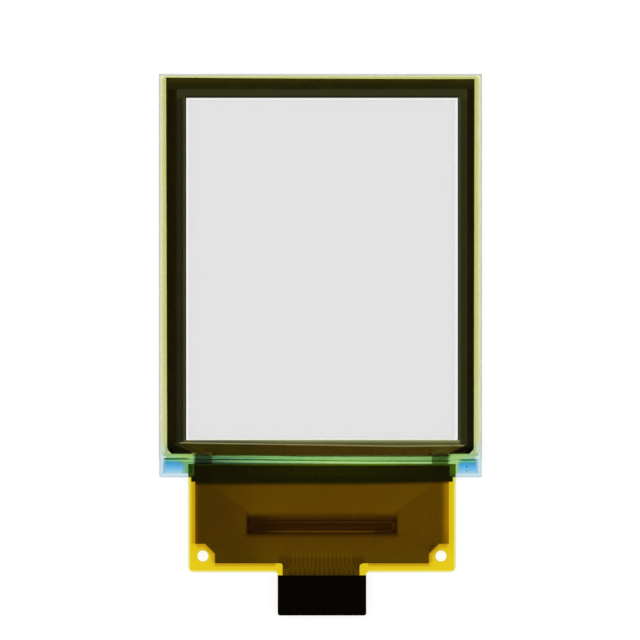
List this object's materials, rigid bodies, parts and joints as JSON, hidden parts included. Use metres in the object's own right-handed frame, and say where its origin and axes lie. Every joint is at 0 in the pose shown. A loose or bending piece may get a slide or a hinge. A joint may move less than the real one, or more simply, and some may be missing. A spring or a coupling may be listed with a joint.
{
  "type": "transparent oled display module",
  "caption": "Flat see-through display panel of bonded glass sheets with a clear window in a dark border, and an amber chip-on-film tail with a stiffened contact end.",
  "frame": {"origin": "centre of the substrate glass's back face", "axes": "+X to the right of the picture, +Y to its upper edge and away from the tail, +Z out of the front glass"},
  "size_m": [0.0328, 0.055, 0.001],
  "materials": {
    "glass_clear": "clear float glass with ground edges",
    "seal_epoxy": "yellow-green cured epoxy",
    "border_dark": "opaque dark film",
    "pixel_film": "clear thin film",
    "lead_metal": "thin sputtered metal",
    "bond_adhesive": "particle-filled adhesive",
    "film_amber": "amber polyimide film",
    "film_copper": "etched copper",
    "contact_gold": "gold plating",
    "resist_brown": "brown solder resist",
    "die_silicon": "sawn and ground silicon",
    "underfill_dark": "dark cured resin",
    "stiffener_black": "black polyimide plate",
    "tape_grey": "pressure-sensitive tape",
    "resin_blue": "blue light-cured resin",
    "resin_dark": "dark cured resin"
  },
  "bodies": {
    "root": {"substrate_glass": "glass_clear", "cover_glass": "glass_clear", "seal_ring": "seal_epoxy", "anode_columns": "pixel_film", "emissive_film": "pixel_film", "cathode_rows": "pixel_film", "border_film": "border_dark", "row_leads_left": "lead_metal", "row_leads_right": "lead_metal", "column_leads": "lead_metal", "acf_strip": "bond_adhesive", "base_film": "film_amber", "column_traces": "film_copper", "row_traces_left": "film_copper", "row_traces_right": "film_copper", "input_traces": "film_copper", "contact_fingers": "contact_gold", "solder_resist": "resist_brown", "driver_die": "die_silicon", "gold_bumps": "contact_gold", "underfill": "underfill_dark", "stiffener_tape": "tape_grey", "stiffener": "stiffener_black", "ledge_resin": "resin_blue", "edge_resin": "resin_dark"}
  },
  "joints": []
}
